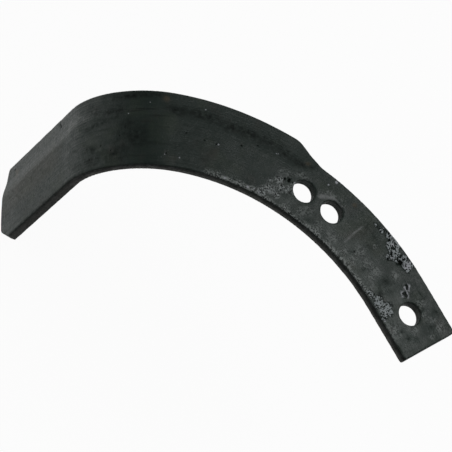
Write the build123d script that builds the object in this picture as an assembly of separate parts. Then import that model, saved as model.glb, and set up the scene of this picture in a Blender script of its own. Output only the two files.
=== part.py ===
from build123d import *
from math import asin, cos, degrees, radians, sin, sqrt
import os

# Rotary tiller blade, forged in one piece from flat bar.
#
# The mounting end and the shank are flat and curve in the plane of the bar. Past a
# shoulder the bar is forged wider and thinner towards its outer edge. Where the curve
# ends, the bar is bent nearly square, and its wing points away from the mounting face.
#
# Origin: midway between the end bolt and the middle bolt, in the middle of the bar's
# thickness. +X points from the end bolt to the middle bolt, +Y to the hollow side of the
# curve, and +Z out of the mounting face. Lengths are in mm and angles in degrees.
# Angles along the curve start at its point nearest the origin and grow to the wing.

# Bar
thickness = 6.5
shank_width = 34.8
blade_width = 42.6
edge_round = 0.8

# Curve of the bar
centre_radius = 150.0
wing_angle = 49.0
straight_angle = -8.0
straight_length = 32.5
end_corner_round = 1.2

# Shoulder, where the bar becomes wider
shoulder_angle = 19.4
shoulder_rise_angle = 5.3
shoulder_hollow_round = 10.0
shoulder_crown_round = 12.0

# Bolt holes, on the middle line of the shank
bolt_hole_diameter = 12.5
bolt_pitch = 67.0
spare_hole_pitch = 18.0
spare_hole_inset = 0.5
hole_rim_round = 0.7

# Bevel along the outer edge, on the mounting side
land_width = 8.2
land_depth = 1.8
edge_depth = 2.4
ramp_width = 7.0
ramp_crown_round = 18.0
ramp_hollow_round = 20.0
bevel_sweep = 27.2
bevel_centre_offset = 30.0
run_out_margin = 8.0
cutter_margin = 3.0
cutter_overlap_angle = 2.0

# Bend and wing
bend_radius = 44.0
bend_angle = 86.5
wing_length = 96.8

# Tip of the wing
tip_crown_radius = 85.0
tip_crown_centre = 15.5
tip_corner_round = 2.5
tip_clip_length = 12.8
tip_clip_angle = 26.0
tip_clip_lean = 21.0
tip_clip_round = 3.0

# Worked-out sizes
inner_radius = centre_radius - shank_width / 2
shank_outer_radius = inner_radius + shank_width
blade_outer_radius = inner_radius + blade_width
tip_clip_start = wing_length - tip_clip_length
curve_centre = Vector(0, sqrt(centre_radius**2 - (bolt_pitch / 2) ** 2), 0)
up = Vector(0, 0, 1)


def outward(angle):
    """Direction from the curve's centre to the bar, at an angle along the curve."""
    return Vector(sin(radians(angle)), -cos(radians(angle)), 0)


def along(angle):
    """Direction of the bar, towards the wing, at an angle along the curve."""
    return Vector(cos(radians(angle)), sin(radians(angle)), 0)


def on_curve(radius, angle):
    """Point on the mounting face, where Z is zero until the blade is finished."""
    return curve_centre + outward(angle) * radius


def curve_arc(radius, start, end):
    """Arc about the curve's centre."""
    return CenterArc(curve_centre, radius, start - 90, end - start)


def round_corners(outline, corners):
    """Outline with some of its corners rounded, each given as a point and a radius."""
    for point, radius in corners:
        outline = fillet(outline.vertices().sort_by_distance(point)[0], radius)
    return outline


def flat_outline():
    """Outline of the bar from the mounting end to the start of the bend."""
    back = along(straight_angle) * -straight_length
    rise_end = shoulder_angle + shoulder_rise_angle
    inner_start = on_curve(inner_radius, straight_angle)
    outer_start = on_curve(shank_outer_radius, straight_angle)
    inner_corner = inner_start + back
    outer_corner = outer_start + back
    hollow = on_curve(shank_outer_radius, shoulder_angle)
    crown = on_curve(blade_outer_radius, rise_end)
    outline = make_face(
        [
            curve_arc(inner_radius, wing_angle, straight_angle),
            Line(inner_start, inner_corner),
            Line(inner_corner, outer_corner),
            Line(outer_corner, outer_start),
            curve_arc(shank_outer_radius, straight_angle, shoulder_angle),
            Line(hollow, crown),
            curve_arc(blade_outer_radius, rise_end, wing_angle),
            Line(on_curve(blade_outer_radius, wing_angle), on_curve(inner_radius, wing_angle)),
        ]
    )
    corners = (
        (inner_corner, end_corner_round),
        (outer_corner, end_corner_round),
        (hollow, shoulder_hollow_round),
        (crown, shoulder_crown_round),
    )
    return round_corners(outline, corners)


def bevel_centre():
    """Centre of the bevel's own tighter curve, which meets the bar's where the bend starts."""
    return curve_centre + outward(wing_angle) * bevel_centre_offset


def bevel_section():
    """Section of the metal forged away at the outer edge, in the plane where the bend starts."""
    ramp_top = land_width + ramp_width
    land_slope = (edge_depth - land_depth) / land_width
    crown = (ramp_top, 0)
    hollow = (land_width, -land_depth)
    section = make_face(
        Polyline(
            (ramp_top + cutter_margin, 0),
            crown,
            hollow,
            (-run_out_margin, -edge_depth - land_slope * run_out_margin),
            (-run_out_margin, cutter_margin),
            (ramp_top + cutter_margin, cutter_margin),
            close=True,
        )
    )
    section_plane = Plane(
        origin=on_curve(blade_outer_radius, wing_angle),
        x_dir=outward(wing_angle) * -1,
        z_dir=along(wing_angle),
    )
    return section_plane * round_corners(section, ((crown, ramp_crown_round), (hollow, ramp_hollow_round)))


def bevel():
    """Metal forged away along the outer edge, with a rounded run-out at the shoulder."""
    centre_line = Axis(bevel_centre(), up)
    section = bevel_section()
    start = section.rotate(centre_line, cutter_overlap_angle)
    run = revolve(start, centre_line, -bevel_sweep - cutter_overlap_angle)
    cutter_radius = blade_outer_radius + run_out_margin - bevel_centre_offset
    pivot_point = bevel_centre() + outward(wing_angle - bevel_sweep) * cutter_radius
    run_out_section = section.rotate(centre_line, -bevel_sweep)
    return run + revolve(run_out_section, Axis(pivot_point, up), 90)


def flat_part():
    """Flat part of the blade with its bevel, before its edges are rounded."""
    return extrude(flat_outline(), amount=thickness, dir=(0, 0, -1)) - bevel()


def end_face(solid, direction):
    """The flat end of a piece of bar that looks in a direction."""
    ends = solid.faces().filter_by(GeomType.PLANE)
    return ends.sort_by(lambda face: face.normal_at().dot(direction))[-1]


def bend(flat):
    """Bend, turned from the section at the end of the flat part."""
    axis = Axis(curve_centre + up * -bend_radius, outward(wing_angle) * -1)
    return revolve(end_face(flat, along(wing_angle)), axis, bend_angle)


def wing_direction():
    """Direction in which the wing runs from the bend to its tip."""
    return along(wing_angle) * cos(radians(bend_angle)) - up * sin(radians(bend_angle))


def wing_plane():
    """Plane on the wing's outer face: X to the tip, Y across to the outer edge, Z into the metal."""
    direction = wing_direction()
    bend_centre = on_curve(inner_radius, wing_angle) + up * -bend_radius
    into_metal = direction.cross(outward(wing_angle))
    return Plane(origin=bend_centre - into_metal * bend_radius, x_dir=direction, z_dir=into_metal)


def tip_crown_drop(across):
    """How far the tip's edge falls back from its crown, at a distance across the wing."""
    return tip_crown_radius - sqrt(tip_crown_radius**2 - (across - tip_crown_centre) ** 2)


def tip_outline():
    """Outline of the end of the wing with its crowned edge and its rounded outer corner."""
    inner_end = (wing_length - tip_crown_drop(-cutter_margin), -cutter_margin)
    corner = (wing_length - tip_crown_drop(blade_width), blade_width)
    root = corner[0] - wing_length
    outer_side = blade_width + cutter_margin
    outline = make_face(
        [
            ThreePointArc(inner_end, (wing_length, tip_crown_centre), corner),
            Polyline(corner, (root, blade_width), (root, outer_side), (root - cutter_margin, outer_side)),
            Line((root - cutter_margin, outer_side), (root - cutter_margin, -cutter_margin)),
            Line((root - cutter_margin, -cutter_margin), inner_end),
        ]
    )
    return round_corners(outline, ((corner, tip_corner_round),))


def tip_clip():
    """Metal sheared off the tip's corner on the hollow side, by a cut that leans inwards."""
    along_cut = Vector(1, 0, 0).rotate(Axis.Z, tip_clip_angle)
    off_cut = Vector(0, -1, 0).rotate(Axis.Z, tip_clip_angle)
    off_cut = off_cut.rotate(Axis((0, 0, 0), along_cut), tip_clip_lean)
    cut_plane = Plane(origin=(tip_clip_start, 0, 0), x_dir=along_cut, z_dir=off_cut)
    block = Box(wing_length, blade_width, blade_width, align=(Align.CENTER, Align.CENTER, Align.MIN))
    return cut_plane * block


def rim_edges(faces):
    """Edges that belong to only one of the faces, so that they run around them."""
    owned = [edge for face in faces for edge in face.edges()]
    return [edge for edge in owned if sum(edge.is_same(other) for other in owned) == 1]


def ease_clip(bar):
    """Wing with the corner between the clip and the tip's crowned edge rounded."""
    tip_faces = bar.faces().filter_by(lambda face: is_across(face, wing_direction()))
    rims = rim_edges(tip_faces)
    clip_edges = tip_faces.filter_by(GeomType.PLANE)[0].edges()
    corners = [edge for edge in clip_edges if not any(edge.is_same(rim) for rim in rims)]
    return fillet(corners, tip_clip_round)


def wing(bent):
    """Straight wing with its crowned tip and the clipped corner on the hollow side."""
    direction = wing_direction()
    bar = extrude(end_face(bent, direction), amount=wing_length, dir=direction)
    bar &= wing_plane() * extrude(tip_outline(), amount=thickness * 2, both=True)
    return ease_clip(bar - wing_plane() * tip_clip())


def is_across(face, direction):
    """True for a face that looks more along a direction than the bevel ever does."""
    return face.normal_at().dot(direction) > 0.35


def is_side_face(face):
    """True for a face on the edge of the bar: its long edges, its end and the tip of the wing."""
    normal = face.normal_at()
    if (face.center() - wing_plane().origin).dot(wing_direction()) > tip_clip_start:
        return is_across(face, wing_direction())
    if face.center().Z < -thickness * 1.01:
        return abs(normal.dot(outward(wing_angle))) > 0.99
    return abs(normal.Z) < 0.01


def round_rims(bar):
    """Blade with the rims of its edge faces rounded."""
    return fillet(rim_edges(bar.faces().filter_by(is_side_face)), edge_round)


def bolt_hole_points():
    """Centres of the end, middle and spare bolt holes on the mounting face."""
    middle_angle = degrees(asin(bolt_pitch / 2 / centre_radius))
    spare_angle = middle_angle + 2 * degrees(asin(spare_hole_pitch / 2 / centre_radius))
    return [
        on_curve(centre_radius, -middle_angle),
        on_curve(centre_radius, middle_angle),
        on_curve(centre_radius - spare_hole_inset, spare_angle),
    ]


def drill(bar):
    """Blade with its bolt holes, their rims rounded."""
    radius = bolt_hole_diameter / 2
    for point in bolt_hole_points():
        bar -= Pos(point.X, point.Y, -thickness / 2) * Cylinder(radius, thickness * 2)
    circles = bar.edges().filter_by(GeomType.CIRCLE)
    return fillet(circles.filter_by(lambda edge: abs(edge.radius - radius) < 0.001), hole_rim_round)


def tiller_blade():
    """The whole blade, with its mounting face half a thickness above the origin."""
    flat = flat_part()
    bent = bend(flat)
    return Pos(0, 0, thickness / 2) * drill(round_rims(flat + bent + wing(bent)))


def main():
    os.makedirs("parts", exist_ok=True)
    export_step(tiller_blade(), "parts/tiller_blade.step")


if __name__ == "__main__":
    main()
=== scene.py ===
from math import cos, pi, radians, sin

import bmesh
import bpy
import numpy as np
from mathutils import Matrix, Vector, noise


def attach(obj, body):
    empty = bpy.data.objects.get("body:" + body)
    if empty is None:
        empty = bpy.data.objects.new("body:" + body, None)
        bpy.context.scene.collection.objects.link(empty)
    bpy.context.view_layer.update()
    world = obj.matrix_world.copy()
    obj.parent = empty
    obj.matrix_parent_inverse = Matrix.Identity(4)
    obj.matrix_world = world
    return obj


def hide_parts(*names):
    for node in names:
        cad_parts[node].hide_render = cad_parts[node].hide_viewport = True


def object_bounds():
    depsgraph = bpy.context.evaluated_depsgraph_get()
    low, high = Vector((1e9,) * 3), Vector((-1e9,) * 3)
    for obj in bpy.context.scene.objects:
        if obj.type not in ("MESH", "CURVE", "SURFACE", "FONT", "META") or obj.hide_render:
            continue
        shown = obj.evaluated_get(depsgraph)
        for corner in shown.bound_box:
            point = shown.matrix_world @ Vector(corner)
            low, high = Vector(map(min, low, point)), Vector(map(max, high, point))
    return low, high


# The rotary tiller blade's looks, around its fixed CAD frame. The scene is in metres, and
# sizes on the blade are in mm. A place on the blade is given along its curve, in degrees from
# the point nearest the origin, and in from its hollow edge, in mm. The degrees count on at the
# same rate round the bend and down the wing.

MM = 0.001

# Camera, at the photograph's viewing angle
CAMERA_PLACE = Vector((0.00034, 0.70313, 1.11573))
CAMERA_TARGET = Vector((0.0598, 0.05596, 0.00325))
CAMERA_UP = Vector((0.7937, -0.5064, 0.3370))
CAMERA_LENS = 201.0
NEAR_CLIP = 0.05
FAR_CLIP = 50

# Studio: the world's strength away from its pale side and towards it, and where that side is
STUDIO_DIM = 0.07
STUDIO_PALE = 0.36
PALE_SIDE = (0.64, 0.0, 0.77)

# Rise of a mirrored ray at which it no longer shows the backdrop, as a share of its length
BACKDROP_TOP = 0.25

# Floor
FLOOR_SIZE = 24.0
FLOOR_COLOUR = (0.8, 0.8, 0.8)
FLOOR_WHITENESS = 0.95
WHITE = (1, 1, 1)

# Square soft lights: name, place and power
SOFTBOX_SIZE = 0.4
SOFTBOXES = (
    ("key", (-0.05, -0.3, 0.5), 1.3),
    ("key_over_shank", (-0.25, -0.25, 0.45), 0.88),
    ("side_over_wing", (0.4, 0.5, 0.2), 0.4),
    ("side_low", (0.5, 0.3, 0.1), 0.35),
)

# How shader nodes are laid out, and the colour sockets of a mix node
NODES_IN_ROW = 10
NODE_WIDTH = 200
NODE_HEIGHT = 350
FIRST_COLOUR = 6
SECOND_COLOUR = 7
MIXED_COLOUR = 2

# Colours of the steel and of the marks on it. The dark stain colour is also painted shade
# on the bend, and the side colour is painted shade as well as black scale on the edge faces
BARE = (0.0045, 0.0122, 0.0088)
HAZY = (0.034, 0.044, 0.039)
GREENISH = (0.012, 0.021, 0.012)
BROWNISH = (0.026, 0.021, 0.016)
GRITTY = (0.165, 0.18, 0.175)
SUNKEN = (0.006, 0.008, 0.007)
RUBBED = (0.12, 0.127, 0.127)
SCALY = (0.2, 0.222, 0.228)
CHIPPED = (0.25, 0.26, 0.28)
RUSTY = (0.06, 0.043, 0.022)
# scale stains, and painted shade on the bend
STAIN_AND_SHADE_COLOUR = (0.0118, 0.0148, 0.0133)
# edge faces and hole walls: black scale, and painted shade
SIDE_SCALE_AND_SHADE = (0.012, 0.0138, 0.0127)
# paler lower part of the edge faces and hole walls, under the painted shade
LOWER_SIDE = (0.056, 0.0575, 0.053)
PITTED = (0.004, 0.005, 0.0045)

# Finish of the steel, with lengths in mm
SATIN = 0.38
BAND_ROUGHNESS = 0.035
GRAIN_ROUGHNESS = 0.13
SPECULAR_LEVEL = 0.3
BUMP_STRENGTH = 0.6
BUMP_DEPTH = 0.13
GRIT_SIZE = 0.9

# The blade's form, as its CAD source has it
CENTRE_RADIUS = 150.0
INNER_RADIUS = 132.6
CURVE_CENTRE_Y = 146.21
WING_ANGLE = 49.0
BEND_RADIUS = 44.0
BEND_ANGLE = 86.5
HALF_THICKNESS = 3.25
MM_A_DEGREE = CENTRE_RADIUS * pi / 180

# Bolt holes: degrees along the curve, mm in from the hollow edge, share of an edge face's
# darkening (black scale and painted shade) that the wall has. The walls lie within the reach, in mm.
HOLES = ((-12.9, 17.4, 0.5), (12.9, 17.4, 0.45), (19.8, 16.9, 0.15))
HOLE_REACH = 7.6

# Skin of the blade, with lengths in mm, and how far round its marks it is divided more finely
SKIN_SPACING = 0.72
FINE_CUTS = 2
SCALE_MARGIN = 0.6
MARK_MARGIN = 1.0
FAR_OUTSIDE = -1000.0

# Relief of the scale and of the craters, in mm
SCALE_LOSS = 0.1
SCALE_ROUGHNESS = 0.35
CRATER_DEPTH = 0.4
CRATER_RIM_HEIGHT = 0.15
CRATER_RIM_WIDTH = 0.6

# Scaly patches: degrees along the curve, mm in from the hollow edge, mm radius
SCALE_AT_OUTER_EDGE = (
    (-4.6, 30.8, 3.4), (-3.1, 31.0, 3.0), (-1.6, 28.4, 4.0), (0.2, 30.8, 3.8),
    (2.0, 32.6, 2.6), (3.7, 31.6, 2.4), (4.9, 31.0, 1.2), (-1.3, 24.8, 2.2),
)
SCALE_AT_HOLLOW_EDGE = (
    (-11.2, 2.6, 2.4), (-10.9, 6.6, 2.6), (-9.6, 5.6, 4.0), (-8.3, 3.2, 3.6),
    (-7.2, 4.4, 3.0), (-5.8, 2.6, 2.3), (-4.9, 1.9, 1.4), (-9.7, 8.6, 1.9),
)
SCALE_PATCHES = SCALE_AT_OUTER_EDGE + SCALE_AT_HOLLOW_EDGE

# Rough and grainy patches, given in the same way
ROUGH_BY_SPARE_HOLE = (
    (22.6, 12.0, 3.2), (24.4, 10.0, 3.2), (26.4, 7.0, 3.8), (27.8, 3.6, 3.2), (24.6, 5.6, 3.0),
    (22.3, 15.6, 2.4), (21.8, 13.2, 2.4), (25.4, 14.6, 2.8), (27.2, 10.8, 2.4),
)
ROUGH_ON_SHANK = (
    (18.2, 6.0, 3.0), (16.6, 9.6, 2.2), (13.6, 5.6, 2.8), (3.4, 12.0, 3.6), (0.4, 10.8, 3.8),
    (-2.4, 9.4, 3.6), (3.0, 6.6, 3.2), (-5.0, 5.0, 2.6), (21.0, 24.0, 2.6), (24.6, 20.6, 2.6),
    (-16.0, 27.4, 3.4), (-15.4, 5.4, 4.0), (-14.6, 13.0, 3.2), (6.4, 3.6, 2.6), (9.8, 5.0, 3.0),
    (-12.0, 27.0, 2.4), (15.6, 25.0, 2.4),
)

# Pits: degrees along the curve, mm in from the hollow edge, mm radius, mm depth
PITS = (
    (-3.2, 28.3, 2.1, 1.1), (-3.1, 31.2, 0.8, 0.6), (-0.9, 27.0, 1.0, 0.5), (1.3, 31.6, 1.0, 0.5),
    (-1.3, 23.6, 0.7, 0.4), (2.2, 33.2, 0.7, 0.4), (23.6, 17.6, 1.2, 0.6), (24.5, 16.4, 0.8, 0.4),
    (22.7, 17.0, 0.5, 0.3), (40.05, 18.2, 0.5, 0.4), (42.6, 18.4, 0.5, 0.4), (35.0, 22.4, 0.5, 0.3),
    (46.5, 20.3, 0.5, 0.3), (31.9, 26.3, 0.5, 0.2), (26.7, 8.6, 0.5, 0.3), (4.0, 10.0, 0.6, 0.15),
    (78.9, 37.6, 0.8, 0.5), (79.5, 39.4, 0.7, 0.5), (104.6, 38.6, 0.5, 0.3), (50.6, 7.0, 0.4, 0.2),
    (63.8, 12.4, 0.5, 0.2), (66.6, 6.2, 0.5, 0.2), (59.8, 16.6, 0.4, 0.2), (61.6, 9.0, 0.4, 0.2),
)

# Bright chips: degrees along the curve, mm in from the hollow edge, mm radius
CHIPS = (
    (-4.5, 30.2, 2.2), (-5.0, 31.4, 1.5), (-4.2, 32.6, 1.3), (0.2, 31.0, 1.0), (-1.7, 25.9, 1.0),
    (39.55, 18.4, 0.45), (15.5, 33.0, 0.8), (16.5, 28.7, 0.3), (36.8, 1.3, 0.8), (42.8, 36.6, 0.3),
    (47.7, 5.4, 0.45), (27.6, 28.0, 0.4), (27.9, 27.5, 0.4), (22.3, 17.6, 0.7), (1.6, 32.6, 0.8),
    (28.4, 1.8, 0.8), (31.3, 1.6, 0.7), (29.8, 2.4, 0.5), (53.78, 35.3, 0.4), (58.16, 28.6, 0.35),
    (105.0, 40.4, 0.6), (105.3, 41.6, 0.5), (42.1, 18.6, 0.4), (50.9, 6.2, 0.4), (51.6, 4.6, 0.4),
    (-12.0, 1.8, 0.9), (-9.4, 9.2, 0.6),
)

# Small craters with a bright rim: degrees along the curve, mm in from the hollow edge, mm radius
CRATERS = ((-8.0, 23.4, 1.5), (-9.0, 20.0, 1.7))

# Dark smears, scale stains on the shank and painted shade in the bend past 55 degrees:
# degrees along the curve, mm in from the hollow edge, mm radius
STAINS_AND_SHADE = (
    (56.6, 15.0, 5.0), (58.7, 20.8, 4.0), (59.6, 10.8, 4.0), (61.0, 29.0, 2.6), (23.8, 10.2, 1.5),
    (25.0, 29.4, 2.6), (22.2, 12.2, 1.4), (1.8, 23.0, 2.0), (3.4, 25.6, 2.6), (6.0, 26.0, 2.2),
    (-4.8, 14.6, 3.0), (-4.6, 9.8, 2.2), (-6.7, 12.7, 2.4), (-16.8, 24.6, 2.4), (-17.0, 11.0, 2.2),
    (-13.2, 24.5, 1.3), (-11.6, 22.8, 1.1), (11.6, 22.4, 1.0), (10.6, 19.6, 0.9), (13.2, 24.0, 1.2),
    (-14.8, 31.6, 1.8), (2.8, 18.6, 1.6), (0.0, 7.6, 1.4), (4.1, 8.8, 1.2), (-1.3, 24.2, 1.6),
    (15.6, 3.6, 1.2), (-10.6, 28.8, 1.8), (-15.8, 8.4, 2.0), (-18.0, 14.4, 1.8), (-19.6, 27.6, 1.4),
    (-6.4, 8.0, 1.6), (-13.0, 5.4, 1.2), (23.2, 9.6, 1.6), (32.4, 1.2, 1.2), (34.6, 2.6, 1.0),
)

# Dark streaks of painted shade in the bend and near the outer edge of the flat part:
# degrees and mm in of one end, then of the other, and mm width
DARK_STREAKS = (
    (61.2, 26.4, 67.6, 23.6, 1.7), (60.2, 31.0, 66.8, 33.2, 3.8), (60.0, 6.0, 66.8, 5.6, 4.2),
    (63.4, 9.0, 68.0, 13.8, 3.2), (38.6, 31.0, 31.4, 31.6, 4.2), (31.4, 31.6, 26.6, 31.6, 4.2),
    (49.2, 32.6, 40.4, 32.6, 3.4), (61.6, 38.6, 52.0, 40.2, 1.4), (26.6, 33.6, 24.2, 29.0, 2.4),
    (24.2, 29.0, 20.6, 31.0, 2.2),
)

# Rusty spots: degrees along the curve, mm in from the hollow edge, mm radius
RUST = ((102.8, 34.6, 2.0), (103.8, 36.8, 1.3), (21.9, 32.1, 1.2), (50.4, 38.4, 1.8), (10.2, 29.8, 1.0))

# Pale smears: degrees along the curve, mm in from the hollow edge, mm radius
SMEARS = (
    (11.8, 24.4, 1.1), (12.9, 24.6, 1.3), (14.2, 24.6, 1.4), (15.2, 23.4, 1.3), (16.1, 21.6, 1.7),
    (16.6, 20.0, 1.4), (-14.9, 4.6, 3.2), (-13.6, 2.4, 2.4), (-16.4, 2.0, 2.0), (22.3, 17.0, 1.4),
    (22.2, 23.6, 1.8), (23.2, 21.0, 1.2), (-2.2, 12.6, 2.6), (0.4, 11.0, 2.4), (-2.4, 8.4, 2.4),
    (3.2, 13.4, 2.4), (2.6, 5.4, 2.2), (5.6, 5.0, 2.2), (-11.8, 25.2, 2.0), (-14.2, 24.0, 1.8),
    (-16.4, 15.4, 1.8), (-17.6, 30.6, 2.4), (-18.4, 24.0, 1.4), (18.2, 5.6, 2.2),
    (17.4, 9.0, 1.6), (12.9, 6.0, 2.0),
    (26.0, 19.4, 1.4), (21.6, 4.0, 1.6), (2.0, 22.0, 1.4), (9.0, 6.0, 2.2), (-4.9, 20.6, 1.8),
)

# Scratches: degrees and mm in of one end, then of the other, and mm width
SCRATCHES = (
    (6.5, 24.0, 6.75, 17.0, 0.45), (6.75, 17.0, 6.85, 9.5, 0.6), (16.6, 20.0, 15.2, 23.0, 1.1),
    (15.2, 23.0, 13.6, 24.4, 0.8), (13.6, 24.4, 11.8, 23.0, 0.5),
)


def feed(tree, socket, value):
    """Gives a socket a number, a colour or what comes out of another node."""
    if isinstance(value, bpy.types.NodeSocket):
        tree.links.new(value, socket)
    elif isinstance(value, tuple):
        socket.default_value = (*value, 1)
    else:
        socket.default_value = value


def node(tree, kind, **values):
    """Shader node of a kind, laid out in rows, with some of its inputs given by name."""
    row, column = divmod(len(tree.nodes), NODES_IN_ROW)
    made = tree.nodes.new(kind)
    made.location = (column * NODE_WIDTH, -row * NODE_HEIGHT)
    for name, value in values.items():
        feed(tree, made.inputs[name.replace("_", " ")], value)
    return made


def calculate(tree, operation, first, second):
    """What a math node makes of two values."""
    made = node(tree, "ShaderNodeMath")
    made.operation = operation
    feed(tree, made.inputs[0], first)
    feed(tree, made.inputs[1], second)
    return made.outputs[0]


def add(tree, first, second):
    """Sum of two values."""
    return calculate(tree, "ADD", first, second)


def multiply(tree, first, second):
    """Product of two values."""
    return calculate(tree, "MULTIPLY", first, second)


def larger(tree, first, second):
    """The larger of two values."""
    return calculate(tree, "MAXIMUM", first, second)


def soft_step(tree, value, low=0.0, high=1.0, start=0.0, end=1.0):
    """Smooth step of a value, from start at low to end at high."""
    level = node(
        tree, "ShaderNodeMapRange", Value=value, From_Min=low, From_Max=high, To_Min=start, To_Max=end
    )
    level.interpolation_type = "SMOOTHSTEP"
    return level.outputs["Result"]


def blend(tree, share, first, second):
    """Mix of two colours by a share."""
    mix = node(tree, "ShaderNodeMix")
    mix.data_type = "RGBA"
    feed(tree, mix.inputs["Factor"], share)
    feed(tree, mix.inputs[FIRST_COLOUR], first)
    feed(tree, mix.inputs[SECOND_COLOUR], second)
    return mix.outputs[MIXED_COLOUR]


def seen_directly(tree, mirrored=1.0):
    """One for rays from the camera and passing rays, and a share for mirrored rays."""
    path = node(tree, "ShaderNodeLightPath")
    direct = larger(tree, path.outputs["Is Camera Ray"], path.outputs["Is Transmission Ray"])
    return larger(tree, direct, multiply(tree, path.outputs["Is Glossy Ray"], mirrored))


def show_mix(tree, share, first, second, output_kind):
    """Sends a mix of two shaders, by a share, to the output."""
    mix = node(tree, "ShaderNodeMixShader", Fac=share)
    feed(tree, mix.inputs[1], first.outputs[0])
    feed(tree, mix.inputs[2], second.outputs[0])
    node(tree, output_kind, Surface=mix.outputs[0])


def make_camera():
    """Camera that looks down on the mounting face, rolled as the photograph is."""
    data = bpy.data.cameras.new("camera")
    data.lens = CAMERA_LENS
    data.clip_start = NEAR_CLIP
    data.clip_end = FAR_CLIP
    camera = bpy.data.objects.new("camera", data)
    bpy.context.scene.collection.objects.link(camera)
    forward = (CAMERA_TARGET - CAMERA_PLACE).normalized()
    right = forward.cross(CAMERA_UP).normalized()
    up = right.cross(forward)
    axes = Matrix((right, up, -forward)).transposed()
    camera.matrix_world = Matrix.Translation(CAMERA_PLACE) @ axes.to_4x4()
    bpy.context.scene.camera = camera


def studio_strength(tree, direction):
    """Strength of the studio's light in a direction, higher on its pale side."""
    toward = node(tree, "ShaderNodeVectorMath")
    toward.operation = "DOT_PRODUCT"
    feed(tree, toward.inputs[0], direction)
    toward.inputs[1].default_value = PALE_SIDE
    return soft_step(tree, toward.outputs["Value"], start=STUDIO_DIM, end=STUDIO_PALE)


def nearness_to_horizon(tree, direction):
    """One at the horizon and below it, and zero from the top of the backdrop upwards."""
    height = node(tree, "ShaderNodeSeparateXYZ", Vector=direction)
    low = node(
        tree, "ShaderNodeMapRange", Value=height.outputs["Z"], From_Min=BACKDROP_TOP, From_Max=0.0
    )
    return low.outputs["Result"]


def make_world():
    """Dim studio with a paler side, and a white backdrop for what the camera sees.

    The blade mirrors the backdrop only near the horizon, and the dim studio above it.
    """
    world = bpy.data.worlds.new("studio")
    bpy.context.scene.world = world
    world.use_nodes = True
    tree = world.node_tree
    tree.nodes.clear()
    direction = node(tree, "ShaderNodeTexCoord").outputs["Generated"]
    studio = node(tree, "ShaderNodeBackground", Strength=studio_strength(tree, direction))
    backdrop = node(tree, "ShaderNodeBackground", Color=WHITE, Strength=1.0)
    seen = seen_directly(tree, mirrored=nearness_to_horizon(tree, direction))
    show_mix(tree, seen, studio, backdrop, "ShaderNodeOutputWorld")


def make_softbox(name, place, power):
    """Soft square light that looks at the middle of the blade."""
    data = bpy.data.lights.new(name, "AREA")
    data.shape = "SQUARE"
    data.size = SOFTBOX_SIZE
    data.energy = power
    light = bpy.data.objects.new(name, data)
    bpy.context.scene.collection.objects.link(light)
    light.location = place
    light.rotation_mode = "QUATERNION"
    light.rotation_quaternion = (CAMERA_TARGET - Vector(place)).to_track_quat("-Z", "Y")


def floor_material():
    """Pale floor that looks white, and keeps part of the shadow that falls on it."""
    material = bpy.data.materials.new("floor")
    material.use_nodes = True
    tree = material.node_tree
    tree.nodes.clear()
    matt = node(tree, "ShaderNodeBsdfDiffuse", Color=FLOOR_COLOUR)
    white = node(tree, "ShaderNodeEmission", Color=WHITE, Strength=1.0)
    share = multiply(tree, seen_directly(tree), FLOOR_WHITENESS)
    show_mix(tree, share, matt, white, "ShaderNodeOutputMaterial")
    return material


def make_floor(level):
    """Large plain floor at a height."""
    half = FLOOR_SIZE / 2
    mesh = bpy.data.meshes.new("floor")
    corners = [(-half, -half, level), (half, -half, level), (half, half, level), (-half, half, level)]
    mesh.from_pydata(corners, [], [(0, 1, 2, 3)])
    floor = bpy.data.objects.new("floor", mesh)
    floor.data.materials.append(floor_material())
    bpy.context.scene.collection.objects.link(floor)


def mark(tree, name):
    """One of the values that are stored on the skin."""
    made = node(tree, "ShaderNodeAttribute")
    made.attribute_name = name
    return made.outputs["Fac"]


def noise_step(tree, point, low, high, detail):
    """Smooth step of a noise at a point, from zero to one."""
    pattern = node(tree, "ShaderNodeTexNoise", Vector=point, Scale=1.0, Detail=detail)
    return soft_step(tree, pattern.outputs["Fac"], low, high)


def clouds(tree, size, low=0.35, high=0.65, detail=3.0):
    """Soft blotches of about a size in mm, from zero to one."""
    point = node(tree, "ShaderNodeTexCoord").outputs["Object"]
    scaled = node(tree, "ShaderNodeMapping", Vector=point, Scale=[1 / (size * MM)] * 3)
    return noise_step(tree, scaled.outputs["Vector"], low, high, detail)


def streaks(tree, length, width, low=0.4, high=0.7, detail=3.0):
    """Streaks of a length and width in mm that run along the blade, from zero to one."""
    along = calculate(tree, "DIVIDE", mark(tree, "along"), length)
    across = calculate(tree, "DIVIDE", mark(tree, "across"), width)
    point = node(tree, "ShaderNodeCombineXYZ", X=along, Y=across).outputs[0]
    return noise_step(tree, point, low, high, detail)


def blotchy_colour(tree, fine):
    """Dark steel with a pale haze and with greenish and brownish blotches."""
    mottle = add(tree, clouds(tree, 9.0, 0.41, 0.6), multiply(tree, fine, 0.9))
    colour = blend(tree, multiply(tree, mark(tree, "haze"), mottle), BARE, HAZY)
    greens = multiply(tree, clouds(tree, 14.0, 0.5, 0.72), 0.65)
    colour = blend(tree, greens, colour, GREENISH)
    browns = multiply(tree, clouds(tree, 11.0, 0.55, 0.8), 0.35)
    return blend(tree, browns, colour, BROWNISH)


def grainy_colour(tree, colour):
    """Colour with bright and sunken grains where the skin is rough."""
    rough = mark(tree, "rough")
    bright = multiply(tree, clouds(tree, GRIT_SIZE, 0.46, 0.54, detail=4.0), rough)
    colour = blend(tree, bright, colour, GRITTY)
    sunken = multiply(tree, clouds(tree, GRIT_SIZE, 0.47, 0.4, detail=4.0), rough)
    return blend(tree, sunken, colour, SUNKEN)


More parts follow.
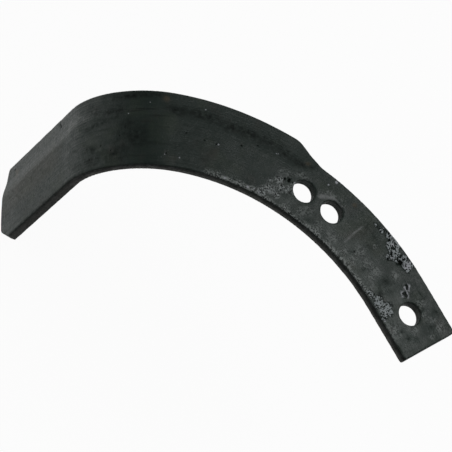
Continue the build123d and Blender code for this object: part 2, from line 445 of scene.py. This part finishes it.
def marked_colour(tree, colour, stained_and_shaded, side, pit):
    """Colour with the marks on the skin laid over it, the last one on top. The dark stain layer
    and the side layers are partly painted shade.
    """
    layers = (
        (mark(tree, "pale"), RUBBED),
        (mark(tree, "scale"), SCALY),
        (mark(tree, "chip"), CHIPPED),
        (mark(tree, "rust"), RUSTY),
        # scale stains on the shank, and painted shade in the bend and next to it
        (stained_and_shaded, STAIN_AND_SHADE_COLOUR),
        # edge faces and hole walls painted dark as black scale and painted shade, paler lower down
        (side, SIDE_SCALE_AND_SHADE),
        (multiply(tree, side, mark(tree, "depth")), LOWER_SIDE),
        (pit, PITTED),
    )
    for share, over in layers:
        colour = blend(tree, share, colour, over)
    return colour


def stain_and_shade_share(tree):
    """How dark the steel is painted by torn smears and by streaks along the blade: scale stains
    on the shank, and painted shade in the bend and on the flat part next to it.
    """
    torn = clouds(tree, 2.2, 0.22, 0.66, detail=6.0)
    smeared = multiply(tree, torn, mark(tree, "stain_and_shade"))
    shade_streaks = multiply(tree, streaks(tree, 26.0, 2.2, 0.5, 0.75), mark(tree, "shade_streaks"))
    return larger(tree, smeared, shade_streaks)


def satin_roughness(tree, fine):
    """Roughness of the satin finish, uneven in blotches, in bands and in a fine grain."""
    blotches = multiply(tree, clouds(tree, 5.0), mark(tree, "uneven"))
    bands = multiply(tree, streaks(tree, 30.0, 2.6), BAND_ROUGHNESS)
    grain = multiply(tree, fine, GRAIN_ROUGHNESS)
    return add(tree, add(tree, add(tree, blotches, bands), grain), mark(tree, "dull"))


def forged_bump(tree):
    """Fine bumps of the forged skin: a grain, and lines along the blade."""
    height = add(tree, clouds(tree, 0.8, 0.25, 0.75, detail=4.0), streaks(tree, 18.0, 0.9))
    bump = node(tree, "ShaderNodeBump", Height=height, Strength=BUMP_STRENGTH, Distance=BUMP_DEPTH * MM)
    return bump.outputs["Normal"]


def steel_material():
    """Dark satin finish of forged steel: hazy and blotchy, with scale, pits and chips, and with
    painted shade on the bend, on the edge faces and on the hole walls.
    """
    material = bpy.data.materials.new("blade_steel")
    material.use_nodes = True
    tree = material.node_tree
    surface = tree.nodes["Principled BSDF"]
    fine = clouds(tree, 1.4, 0.4, 0.68, detail=5.0)
    stained_and_shaded = stain_and_shade_share(tree)
    side = mark(tree, "side")
    pit = mark(tree, "pit")
    steel = grainy_colour(tree, blotchy_colour(tree, fine))
    feed(tree, surface.inputs["Base Color"], marked_colour(tree, steel, stained_and_shaded, side, pit))
    # the dark marks are metallic with a dark colour, so they reflect little: painted shade on the bend,
    # sides and hole walls
    feed(tree, surface.inputs["Metallic"], larger(tree, side, larger(tree, stained_and_shaded, pit)))
    feed(tree, surface.inputs["Roughness"], satin_roughness(tree, fine))
    feed(tree, surface.inputs["Normal"], forged_bump(tree))
    surface.inputs["Specular IOR Level"].default_value = SPECULAR_LEVEL
    surface.location = ((NODES_IN_ROW + 1) * NODE_WIDTH, 0)
    tree.nodes["Material Output"].location = ((NODES_IN_ROW + 3) * NODE_WIDTH, 0)
    return material


def fine_copy(source, name, spacing):
    """Even, fine mesh on the surface of a CAD node."""
    skin = bpy.data.objects.new(name, source.data.copy())
    bpy.context.scene.collection.objects.link(skin)
    remesh = skin.modifiers.new("remesh", "REMESH")
    remesh.mode = "VOXEL"
    remesh.voxel_size = spacing
    snap = skin.modifiers.new("snap", "SHRINKWRAP")
    snap.target = source
    snap.wrap_method = "NEAREST_SURFACEPOINT"
    graph = bpy.context.evaluated_depsgraph_get()
    fine = bpy.data.meshes.new_from_object(skin.evaluated_get(graph))
    skin.modifiers.clear()
    skin.data = fine
    return skin


def rise(values, low, high):
    """Smooth step from zero at low to one at high."""
    t = np.clip((values - low) / (high - low), 0, 1)
    return t * t * (3 - 2 * t)


def between(values, start, full, fading, gone):
    """One from full to fading, and zero before start and after gone."""
    return rise(values, start, full) * (1 - rise(values, fading, gone))


def strongest(marks):
    """The highest of several marks at each vertex, and zero where all are below it."""
    return np.clip(np.maximum.reduce(list(marks)), 0, None)


def wobble(points, size, seed):
    """Smooth noise of about a size in mm at each point, roughly from minus one to one."""
    shift = Vector((seed * 17.3, seed * 5.1, seed * 9.7))
    return np.array([noise.noise(Vector(p) / size + shift) for p in points])


class Grain:
    """Noise of several sizes at each vertex, roughly from minus one to one."""

    def __init__(self, points):
        self.broad = wobble(points, 13.0, 1)
        self.middle = wobble(points, 4.5, 2)
        self.small = wobble(points, 1.9, 3)
        self.tiny = wobble(points, 0.8, 4)
        self.flakes = self.small * 0.4 + self.tiny * 0.8


class Layout:
    """Where each vertex lies on the blade, in mm and degrees, and which way it looks."""

    def __init__(self, points, normals):
        angle = radians(WING_ANGLE)
        outward = np.array([sin(angle), -cos(angle)])
        forward = np.array([cos(angle), sin(angle)])
        from_centre = points[:, :2] - (0, CURVE_CENTRE_Y)
        past = from_centre @ forward
        below = HALF_THICKNESS - BEND_RADIUS - points[:, 2]
        self.flat = past < 0
        turned = np.where(self.flat, 0, np.degrees(np.arctan2(past, -below)))
        self.straight = turned > BEND_ANGLE
        tilt = np.radians(np.clip(turned, 0, BEND_ANGLE))
        self.degrees = np.degrees(np.arctan2(from_centre[:, 0], -from_centre[:, 1]))
        radius = np.where(self.flat, np.hypot(*from_centre.T), from_centre @ outward)
        self.across = radius - INNER_RADIUS
        self.past_bend = np.where(self.straight, below, 0)
        bent = WING_ANGLE * MM_A_DEGREE + tilt * BEND_RADIUS + self.past_bend
        self.along = np.where(self.flat, self.degrees * MM_A_DEGREE, bent)
        facing = normals[:, :2] @ forward * np.sin(tilt) + normals[:, 2] * np.cos(tilt)
        self.top = rise(facing, 0.35, 0.75)
        self.side = 1 - rise(np.abs(facing), 0.3, 0.8)
        self.depth = self.depth_in_bar(points[:, 2], past, below)

    def depth_in_bar(self, height, past, below):
        """Depth below the face that looks at the camera, in the flat part, bend and wing."""
        bend = radians(BEND_ANGLE)
        in_flat = HALF_THICKNESS - height
        in_bend = BEND_RADIUS - np.hypot(past, below)
        in_wing = BEND_RADIUS - past * sin(bend) + below * cos(bend)
        return np.where(self.flat, in_flat, np.where(self.straight, in_wing, in_bend))

    def distance(self, degrees, across):
        """Distance of each vertex from a place on the blade, in mm."""
        return np.hypot(self.along - degrees * MM_A_DEGREE, self.across - across)

    def patch(self, blobs, ragged=0.0):
        """How far inside a patch made of round blobs each vertex is, in mm."""
        inside = np.maximum.reduce([radius - self.distance(*spot) for *spot, radius in blobs])
        return np.where(self.top > 0.5, inside + ragged, FAR_OUTSIDE)

    def spot(self, degrees, across, radius, ragged=0.0):
        """Soft round spot on the mounting side."""
        return np.exp(-(((self.distance(degrees, across) + ragged) / radius) ** 2)) * self.top

    def line(self, degrees, across, end_degrees, end_across, width):
        """Soft line on the mounting side."""
        start = np.array([degrees * MM_A_DEGREE, across])
        run = np.array([end_degrees * MM_A_DEGREE, end_across]) - start
        here = np.stack([self.along, self.across], -1) - start
        share = np.clip(here @ run / (run @ run), 0, 1)
        gap = np.linalg.norm(here - share[:, None] * run, axis=1)
        return np.exp(-((gap / width) ** 2)) * self.top


def vertex_values(source, name):
    """Three values of each vertex, such as its place or its normal, as rows."""
    values = np.zeros(len(source) * 3, np.float32)
    source.foreach_get(name, values)
    return values.reshape(-1, 3).astype(float)


def read_layout(mesh):
    """Places and normals of the vertices in mm, and where they lie on the blade."""
    points = vertex_values(mesh.vertices, "co") / MM
    normals = vertex_values(mesh.vertex_normals, "vector")
    return points, normals, Layout(points, normals)


def refine_marks(mesh):
    """Divides the skin more finely where it has scale, pits or chips."""
    place = read_layout(mesh)[2]
    near = place.patch(SCALE_PATCHES) > -SCALE_MARGIN
    near |= place.patch(ROUGH_BY_SPARE_HOLE) > 0
    for degrees, across, radius in [pit[:3] for pit in PITS] + list(CHIPS + CRATERS):
        near |= (place.distance(degrees, across) < radius + MARK_MARGIN) & (place.top > 0.5)
    fine = bmesh.new()
    fine.from_mesh(mesh)
    edges = [edge for edge in fine.edges if all(near[vertex.index] for vertex in edge.verts)]
    bmesh.ops.subdivide_edges(fine, edges=edges, cuts=FINE_CUTS, use_grid_fill=True)
    fine.to_mesh(mesh)
    fine.free()


def rough_by_hole(place, grain):
    """How rough the patch beside the spare hole is."""
    return rise(place.patch(ROUGH_BY_SPARE_HOLE, grain.middle * 1.3), -0.5, 2.0)


def roughened(place, grain):
    """How rough the skin is beside the spare hole, along the hollow edge and on the shank."""
    by_edge = rise(3.4 + 2 * grain.middle - place.across, 0, 2.2) * place.top * place.flat
    by_edge *= between(place.degrees, -7, -4, 40, 43)
    on_shank = rise(place.patch(ROUGH_ON_SHANK, grain.middle * 2 + grain.small), -0.5, 1.5)
    rough = np.maximum(rough_by_hole(place, grain) + by_edge * 0.9, on_shank * 0.35)
    return np.clip(rough, 0, 1)


def scaled(place, grain):
    """Where the scale lies, how bright its flakes are and how dark its gaps and border."""
    inside = place.patch(SCALE_PATCHES, grain.middle * 1.2 + grain.small * 0.8)
    scale = rise(inside, 0, 0.8)
    flecked = rough_by_hole(place, grain) * rise(place.patch(ROUGH_BY_SPARE_HOLE), -0.2, 1.4)
    bright = scale * rise(grain.flakes, -0.12, 0.07)
    bright += 0.5 * flecked * rise(grain.flakes + 0.1 * grain.middle, 0.1, 0.24)
    dark = between(inside, -0.5, 0.1, 0.1, 0.7) * 0.7
    dark += scale * rise(-grain.flakes, 0.03, 0.16) * 0.85
    dark += 0.85 * flecked * rise(-grain.flakes, 0.06, 0.2)
    return scale, np.clip(bright, 0, 1), dark


def pitted(place, grain):
    """Depth of the pits in mm, and how dark they are."""
    deep = np.zeros(len(place.along))
    dark = np.zeros(len(place.along))
    for degrees, across, radius, depth in PITS:
        ragged = grain.tiny * 0.6 + grain.small * rise(radius, 0.8, 1.2)
        hollow = place.spot(degrees, across, radius, ragged)
        deep += hollow * depth
        dark = np.maximum(dark, rise(hollow, 0.3, 0.7))
    return deep, dark


def cratered(place, grain):
    """Relief of the craters in mm, and how bright their rims and how dark their floors are."""
    relief = np.zeros(len(place.along))
    bright = np.zeros(len(place.along))
    dark = np.zeros(len(place.along))
    for degrees, across, radius in CRATERS:
        gap = place.distance(degrees, across) + grain.small + grain.tiny * 0.6
        rim = np.exp(-(((gap - radius) / CRATER_RIM_WIDTH) ** 2)) * place.top
        hollow = np.exp(-((gap / (radius * 0.75)) ** 4)) * place.top
        relief += CRATER_RIM_HEIGHT * rim - CRATER_DEPTH * hollow
        bright = np.maximum(bright, rim * rise(grain.small, -0.4, 0.0))
        dark = np.maximum(dark, hollow * 0.8)
    return relief, bright, dark


def chipped(place, grain):
    """Bright spots where the skin is chipped."""
    ragged = (grain.small + grain.tiny) * 0.4
    return strongest(rise(place.spot(*chip, ragged), 0.3, 0.7) for chip in CHIPS)


def stains_and_painted_shade(place, grain):
    """Dark smears and streaks, scale stains on the shank and painted shade in the bend, and
    painted shade on the inner half of the flat part next to the bend.
    """
    ragged = grain.middle * 1.6 + grain.small
    smears = [place.spot(*spot, radius * 1.25, ragged) * 0.8 for *spot, radius in STAINS_AND_SHADE]
    shade_streaks = [place.line(*streak) * (0.85 + 0.5 * grain.middle) for streak in DARK_STREAKS]
    # painted shade: the inner half of the flat part next to the bend is darkened
    by_bend = rise(place.degrees, 34, 46) * (1 - rise(place.across, 22, 32)) * place.flat * place.top
    return strongest(smears + shade_streaks + [0.3 * by_bend])


def rusted(place, grain):
    """Rusty spots, and a faint tan band along the wing."""
    tan_band = 0.14 * rise(place.past_bend, 0, 20) * between(place.across, 10, 18, 25, 31)
    spots = [place.spot(*spot, grain.small) * 0.5 for spot in RUST]
    return strongest(spots + [tan_band])


def rubbed(place, grain):
    """Pale scratches."""
    return strongest(place.line(*scratch) * (0.75 + 0.5 * grain.small) for scratch in SCRATCHES)


def smeared(place, grain):
    """Pale smears, which are as grainy as the rough patches."""
    ragged = grain.middle + grain.small
    return strongest(place.spot(*spot, radius * 1.2, ragged) * 0.55 for *spot, radius in SMEARS)


def calm_part(place):
    """One on the flat part, and low on the wing, which was forged smoother."""
    return 1 - 0.85 * rise(place.along, 130, 180)


def hazed(place, grain):
    """How hazy the steel is: most on the shank and towards its hollow edge."""
    toward_shank = rise(35 - place.degrees, 0, 25) * place.flat
    inward = rise(25 - place.across, 0, 20)
    at_end = 0.2 * inward * rise(-place.degrees, -6, 8) * place.flat
    uneven = 0.15 * grain.broad * calm_part(place)
    return np.clip(toward_shank * (0.1 + 0.9 * inward) + at_end + uneven + 0.03, 0, 1.3)


def side_scale_and_shade(place, grain, on_wing):
    """How far each vertex is on an edge face or a hole's wall, and on its paler lower part. These
    are painted dark, partly as black scale and partly as painted shade, darkest next to the top face.
    """
    side = place.side * (1 - 0.3 * on_wing)
    lower = rise(place.depth + grain.middle * 0.8 + 1.5 * on_wing, 2.0, 4.6)
    # each hole wall gets its own share of the painted shade
    for degrees, across, darkness in HOLES:
        in_hole = place.distance(degrees, across) < HOLE_REACH
        side[in_hole] *= darkness
        lower[in_hole] = rise(place.depth, 0.8, 2.4)[in_hole]
    return side, lower


def dulled(place, on_wing):
    """Roughness of the finish before its unevenness."""
    end_of_bend = between(place.along, 160, 182, 190, 205) * rise(place.across, 22, 30)
    inner_wing = on_wing * rise(28 - place.across, 0, 4) * (1 - 0.7 * rise(place.past_bend, 45, 90))
    return SATIN - 0.05 * end_of_bend + 0.055 * on_wing + 0.1 * inner_wing + 0.3 * place.side


def forged_relief(place, grain):
    """Shallow waves of the forged surface, in mm."""
    return (0.05 * grain.broad + 0.02 * grain.middle + 0.01 * grain.small) * calm_part(place)


def store(mesh, marks):
    """Keeps values for each vertex under their names, for the material to read."""
    for name, values in marks.items():
        attribute = mesh.attributes.new(name, "FLOAT", "POINT")
        attribute.data.foreach_set("value", values.astype(np.float32))


def move_vertices(mesh, points):
    """Puts the vertices of a mesh at points in mm."""
    mesh.vertices.foreach_set("co", (points * MM).astype(np.float32).ravel())
    mesh.update()


def weather(mesh):
    """Gives the skin its relief, and stores its marks and its finish."""
    points, normals, place = read_layout(mesh)
    grain = Grain(points)
    rough = roughened(place, grain)
    scale, scale_bright, scale_dark = scaled(place, grain)
    pit_depth, pit_dark = pitted(place, grain)
    crater_relief, crater_bright, crater_dark = cratered(place, grain)
    pit = np.clip(strongest((scale_dark, pit_dark, crater_dark)), 0, 1)
    on_wing = rise(place.along, 185, 201)
    side, lower = side_scale_and_shade(place, grain, on_wing)
    store(mesh, {
        "along": place.along,
        "across": place.across,
        "haze": hazed(place, grain),
        "rough": np.maximum(rough, smeared(place, grain)),
        "pale": rubbed(place, grain),
        "scale": scale_bright,
        "chip": np.maximum(chipped(place, grain), crater_bright) * (1 - pit),
        "rust": rusted(place, grain),
        # dark smears: scale stains on the shank, painted shade in the bend
        "stain_and_shade": stains_and_painted_shade(place, grain),
        # painted shade: streaks that darken the bend
        "shade_streaks": 0.6 * between(place.along, 118, 145, 180, 200) * place.top,
        # edge faces and hole walls: black scale and painted shade, paler lower down
        "side": side,
        "depth": lower,
        "pit": pit,
        "uneven": 0.12 - 0.09 * on_wing,
        "dull": dulled(place, on_wing),
    })
    height = forged_relief(place, grain) + crater_relief - pit_depth
    height += scale * (SCALE_ROUGHNESS * grain.flakes - SCALE_LOSS)
    height += rough * (0.06 * grain.small + 0.05 * grain.tiny)
    move_vertices(mesh, points + normals * height[:, None])


def make_skin(source):
    """The blade's shown surface, in place of its CAD node."""
    skin = fine_copy(source, "blade_skin", SKIN_SPACING * MM)
    refine_marks(skin.data)
    weather(skin.data)
    skin.data.materials.clear()
    skin.data.materials.append(steel_material())
    skin.data.polygons.foreach_set("use_smooth", np.ones(len(skin.data.polygons), bool))
    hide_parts("tiller_blade")
    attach(skin, "root")


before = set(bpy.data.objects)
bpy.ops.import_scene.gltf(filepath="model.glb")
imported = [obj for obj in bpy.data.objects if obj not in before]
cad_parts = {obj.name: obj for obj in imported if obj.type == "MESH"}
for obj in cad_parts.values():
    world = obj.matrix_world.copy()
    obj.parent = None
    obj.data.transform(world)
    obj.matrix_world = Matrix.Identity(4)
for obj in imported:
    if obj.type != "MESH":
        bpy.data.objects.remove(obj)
cad_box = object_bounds()
make_camera()
make_world()
for softbox in SOFTBOXES:
    make_softbox(*softbox)
make_floor(cad_box[0].z)
make_skin(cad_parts["tiller_blade"])
bpy.context.scene.view_settings.view_transform = "Standard"
